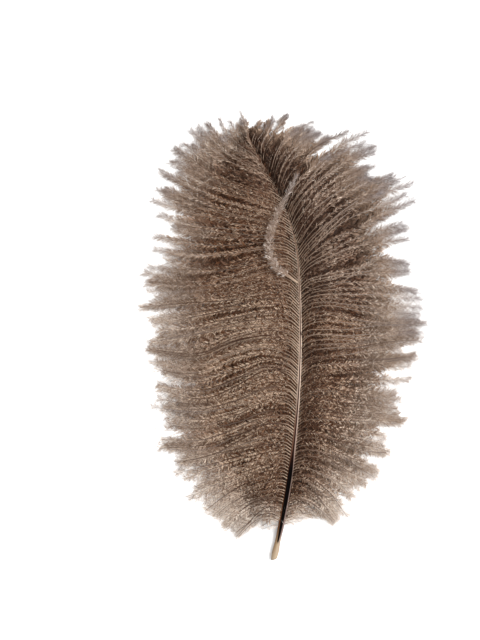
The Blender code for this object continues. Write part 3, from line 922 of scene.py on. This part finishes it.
def coat_of_fluff(coat, barbs, rng):
    """The blades of one coat on a run of barbs, as the arguments of blades()."""
    a_millimetre, a_tuft, spread, length, width, lowest, highest, tone, tone_spread = COATS[coat]
    paths, side = barbs.paths - barbs.risen[..., None] * UP, barbs.side
    frames = strand_frames(paths)
    room = np.linalg.norm(np.gradient(paths[..., :2], axis=0), axis=-1)[..., None] / USUAL_ROOM
    reach = np.linalg.norm(np.diff(paths, axis=1), axis=2).sum(1)
    if coat == "top":
        a_millimetre = a_millimetre * (TOP_TUFTS + UPPER_BARB_TUFTS * barbs.upper)
    count = np.maximum((reach * 1000 * a_millimetre).astype(int), 1)
    barb = np.repeat(np.arange(len(paths)), count)
    order = np.arange(len(barb)) - np.repeat(np.cumsum(count) - count, count)
    jitter = TOP_JITTER if coat == "top" else 1.0
    out = (order + 0.5 + jitter * rng.uniform(-0.5, 0.5, len(barb))) / count[barb]
    away = out * reach[barb]
    fluff = smooth_through(FLUFF, barbs.share[barb])
    bare, lean, pale, end_grade = (fluff[:, :4] if side < 0 else fluff[:, 4:]).T
    zone = zones_of(barbs.share[barb], out, away)
    grows = tufts_that_grow(coat, side, zone, out, away, bare, rng)
    barb, out, away = barb[grows], out[grows], away[grows]
    lean, pale, end_grade = lean[grows], pale[grows], end_grade[grows]

    tufts, along = len(barb), barbs.share[barb]
    zone = zones_of(along, out, away)
    outer = zone["outer"]
    flank = rng.choice((-1.0, 1.0), tufts)
    wide = at_share(room, barb, out)[:, 0].clip(*ROOM_LIMITS)
    straight = (CURLY_LEAN - lean) / (CURLY_LEAN - STRAIGHT_LEAN)
    combed = TOP_COMBED if coat == "top" else 1.0
    lean = lean + ENDS_LEAN * (coat == "ends") + rng.normal(0, LEAN_VARIES * combed, tufts)
    lean = np.radians(lean) * (1 - OUTER_LEANS_LESS * outer)
    lift = np.radians(rng.uniform(lowest, highest, tufts))
    grown = np.minimum(1.0, LENGTH_AT_SHAFT + away / LENGTH_GAIN)
    grown = grown * (1 - OUTER_SHORTER * outer) * wide**ROOM_LENGTHENS
    grown *= 1 - AT_TIP_SHORTER * zone["at_tip"] * zone["half_out"]
    length = length * rng.uniform(*TUFT_LENGTHS, tufts) * grown

    greyer = GREYER_HIGH * (zone["high"] if side > 0 else GREYER_LEFT * zone["round_tip"])
    tone = tone - GREYER_DARKER * greyer * (1 - outer)
    tone = tone + sum(paler[side > 0] * zone[name] for name, paler in SHADES.get(coat, {}).items())
    if coat in ("middle", "top", "ends"):
        everywhere, high, valley, ends = LOOSE_UNEVEN[side]
        tone_spread = tone_spread * (everywhere - high * zone["high"] + valley * zone["valley"])
        tone_spread = tone_spread * (1 - ends * outer)
    tone = rng.normal(tone, tone_spread, tufts)
    tone += sum(wave * np.sin(pace * along + pace_out * out) for wave, pace, pace_out in TONE_WAVES)
    turn = combed * rng.normal(0, BLADE_TURNS, (tufts, 3)) * (1 - STRAIGHT_TURNS_LESS * straight)[:, None]

    member = np.repeat(np.arange(tufts), a_tuft)
    blade_count, barb_of, outer_of = len(member), barb[member], outer[member]
    spot = rng.normal(0, spread, blade_count) / reach[barb_of] * (1 + OUTER_TUFTS_SPREAD * outer_of)
    spot = out[member] + spot
    base = at_share(paths, barb_of, spot)
    ahead, across, upper = (at_share(rows, barb_of, spot) for rows in frames)
    lean, lift, flank = lean[member], lift[member], flank[member]
    sideways = (np.cos(lift) * flank)[:, None] * across + np.sin(lift)[:, None] * upper
    grow = unit(np.cos(lean)[:, None] * ahead + np.sin(lean)[:, None] * sideways)
    loose = (BLADES_LOOSE * combed + OUTER_LOOSER * outer_of)[:, None]
    grow = unit(grow + loose * rng.normal(0, 1, (blade_count, 3)))
    beyond = unit(grow + turn[member] + loose * rng.normal(0, 1, (blade_count, 3)))
    face = np.cross(grow, UP + rng.normal(0, FACES_VARY, (blade_count, 3)))
    length = length[member] * rng.uniform(*BLADE_LENGTHS, blade_count)
    width = width * rng.uniform(*BLADE_WIDTHS, blade_count) * (1 - OUTER_NARROWER * outer_of)
    if coat == "under":
        width = width * wide[member] * (1 - UNDER_NARROWER * zone["past_half"][member])
    else:
        width = width * wide[member] ** ROOM_WIDENS

    tone = tone[member] + rng.normal(0, BLADE_TONE_VARIES, blade_count)
    shade = tone[:, None] + np.array(BLADE_SHADES)
    paled = rising(out, pale, PALED_AT - pale)
    grade = (ROOT_GRADE + (end_grade - ROOT_GRADE) * paled)[member]
    grade = grade + rng.normal(0, GRADE_VARIES, blade_count)
    grade = grade + (greyer * (1 - paled))[member] * ease(tone / PALE_BLADE)
    return base, grow, beyond, face, length, width, shade, grade


fluff_material = barbule_material()
PARTS = {"left": 4, "right": 3}
for side_name, side_barbs in barbs.items():
    smooth = vane_barbs(SIDES[side_name], locks, rng, 0.0)
    blades(f"under_fluff_{side_name}", *coat_of_fluff("under", smooth, rng), fluff_material)
    parts = PARTS[side_name]
    for part in range(parts):
        even, chosen = (laid.part(part / parts, (part + 1) / parts) for laid in (smooth, side_barbs))
        laid_by_coat = (("middle", even), ("top", chosen), ("ends", chosen))
        coats = zip(*[coat_of_fluff(coat, laid, rng) for coat, laid in laid_by_coat])
        growth = (np.concatenate(values) for values in coats)
        blades(f"fluff_{side_name}_{part + 1}", *growth, fluff_material)


# The stray lock: one lock of the left side that has crossed back over the shaft, high on the
# feather. It shows the barbs' greyer underside, in a narrow fuzzy band of its own.

# share of its length, then x, y, z and half its thickness
STRAY_LOCK = (
    (0.00, 0.0046, 0.0230, 0.0086, 0.0006),
    (0.12, 0.0000, 0.0262, 0.0104, 0.0011),
    (0.26, -0.0052, 0.0300, 0.0117, 0.0016),
    (0.40, -0.0082, 0.0368, 0.0124, 0.0019),
    (0.55, -0.0077, 0.0452, 0.0121, 0.0019),
    (0.70, -0.0046, 0.0532, 0.0111, 0.0017),
    (0.85, -0.0004, 0.0614, 0.0102, 0.0013),
    (1.00, 0.0044, 0.0712, 0.0096, 0.0004),
)
STRAY_BARBS = 3
STRAY_SPREAD = 0.4  # of half its thickness, to either side
STRAY_RISE = 0.0012
STRAY_CROWN = 0.5
STRAY_PLACE = 0.5  # share along the vane
STRAY_TONE = 0.6
STRAY_GRADE, STRAY_GRADE_VARIES = 0.70, 0.2


def stray_lock():
    out = np.linspace(0, 1, BARB_KNOTS)
    centre = smooth_through(STRAY_LOCK, out)
    middle, thickness = centre[:, :3], centre[:, 3:]
    ahead, across, _ = (rows[0] for rows in strand_frames(middle[None]))
    spread = np.linspace(-STRAY_SPREAD, STRAY_SPREAD, STRAY_BARBS)[:, None, None]
    rise = STRAY_RISE + STRAY_CROWN * thickness * (1 - spread**2)
    paths = middle + spread * thickness * across + rise * UP
    return Barbs(-1, paths, np.full(STRAY_BARBS, STRAY_PLACE))


stray = stray_lock()
stray_tone = np.full(STRAY_BARBS, STRAY_TONE)
strands("stray_barbs", stray.paths, np.ones(STRAY_BARBS), stray_tone, 1.0, horn_of_barbs)
*growth, grade = coat_of_fluff("stray", stray, rng)
blades("stray_fluff", *growth, STRAY_GRADE + STRAY_GRADE_VARIES * grade, fluff_material)


# The down: silvery threads at the foot of the vane, the last of the fluff that kept the bird warm.
# They grow from the quill's two flanks just above its bare end, arch over and lie down sideways.

# share of a thread's length, then how far out and on a thread has come, in mm: left, right
DOWN_GUIDE = (
    (0.00, 0.0, 0.0, 0.0, 0.0),
    (0.30, 3.5, 2.0, 3.5, 2.5),
    (0.60, 8.0, 1.5, 8.0, 3.5),
    (1.00, 14.0, -3.0, 14.0, 2.5),
)
DOWN_START_Y = -0.0875
DOWN_LENGTH_Y = 0.0100
DOWN_THREADS = 26
DOWN_SIZES = (0.55, 1.05)
DOWN_SWAY = 0.0012
DOWN_ARCH = 0.0012
DOWN_REST_HEIGHT = 0.0003
DOWN_PLACE = 0.02  # share along the vane
DOWN_GRADE, DOWN_GRADE_VARIES = 0.62, 0.1


def down(side, rng):
    share = np.sort(rng.uniform(0, 1, DOWN_THREADS))[:, None]
    out = np.linspace(0, 1, BARB_KNOTS)[None]
    size = rng.uniform(*DOWN_SIZES, share.shape)
    gone = smooth_through(DOWN_GUIDE, out * np.ones_like(share)) / 1000
    gone = gone[..., (0, 1) if side < 0 else (2, 3)]
    root = shaft_point(DOWN_START_Y + DOWN_LENGTH_Y * share)
    sway = rng.normal(0, DOWN_SWAY, share.shape) * np.sin(np.pi * out)
    x = root[..., 0] + side * gone[..., 0] * size
    y = root[..., 1] + gone[..., 1] * size * (1 + share) + sway
    z = np.maximum(root[..., 2] * (1 - out**2) + DOWN_ARCH * np.sin(np.pi * out), DOWN_REST_HEIGHT)
    return Barbs(side, np.stack([x, y, z], -1), np.full(DOWN_THREADS, DOWN_PLACE))


for side_name, side in SIDES.items():
    threads = down(side, rng)
    ones = np.ones(DOWN_THREADS)
    strands(f"down_threads_{side_name}", threads.paths, ones, ones, 1.0, horn_of_barbs)
    *growth, grade = coat_of_fluff("down", threads, rng)
    blades(f"down_{side_name}", *growth, DOWN_GRADE + DOWN_GRADE_VARIES * grade, fluff_material)


# The table: a plain pale floor, a soft light from the right, as the shaft's bright right flank
# shows, and the camera straight above, where the picture was taken from.

MM_A_PIXEL = 0.45
PICTURE_WIDTH, PICTURE_HEIGHT = 480, 640
ORIGIN_PIXEL = (287, 334)
CAMERA_HEIGHT = 0.620
CAMERA_AIM_HEIGHT = 0.006
CAMERA_NEAR = 0.01
FLOOR_SIZE = 3.0
FLOOR_DROP = 0.0002  # under the feather's lowest point
FLOOR_COLOUR, SPECK_COLOUR = (0.90, 0.90, 0.90, 1), (0.86, 0.86, 0.86, 1)
SPECKS, SPECK_STRENGTH = (40.0, 2.0), 0.1  # their scale and detail
KEY_PLACE = (0.55, 0.25, 0.75)
KEY_SIZE = 0.7
KEY_WATTS = 16.0
ROOM_LIGHT = 0.85

floor_material, blank, shader = new_material("pale_table", 0.8, 0.5)
blank.mix(blank.noise(*SPECKS) * SPECK_STRENGTH, FLOOR_COLOUR, SPECK_COLOUR).into(shader, "Base Color")
bpy.ops.mesh.primitive_plane_add(size=FLOOR_SIZE, location=(0, 0, -FLOOR_DROP))
floor = bpy.context.object
floor.name = "floor"
floor.data.materials.append(floor_material)

camera = bpy.data.cameras.new("camera")
camera_object = put_in_scene("camera", camera)
picture_length = PICTURE_HEIGHT * MM_A_PIXEL / 1000
camera.lens = camera.sensor_width * (CAMERA_HEIGHT - CAMERA_AIM_HEIGHT) / picture_length
camera.clip_start = CAMERA_NEAR
camera_x = (PICTURE_WIDTH / 2 - ORIGIN_PIXEL[0]) * MM_A_PIXEL / 1000
camera_y = (ORIGIN_PIXEL[1] - PICTURE_HEIGHT / 2) * MM_A_PIXEL / 1000
camera_object.location = (camera_x, camera_y, CAMERA_HEIGHT)
bpy.context.scene.camera = camera_object

key_light = bpy.data.lights.new("key_light", "AREA")
key_light.size = KEY_SIZE
key_light.energy = KEY_WATTS
key_light_object = put_in_scene("key_light", key_light)
key_light_object.location = KEY_PLACE
aim = -np.array(KEY_PLACE)
lean = math.atan2(math.hypot(aim[0], aim[1]), -aim[2])
key_light_object.rotation_euler = (0.0, lean, math.atan2(aim[1], aim[0]) + math.pi)

world = bpy.data.worlds.new("studio")
bpy.context.scene.world = world
world.use_nodes = True
world.node_tree.nodes["Background"].inputs["Color"].default_value = (1.0, 1.0, 1.0, 1.0)
world.node_tree.nodes["Background"].inputs["Strength"].default_value = ROOM_LIGHT
bpy.context.scene.view_settings.view_transform = "Standard"
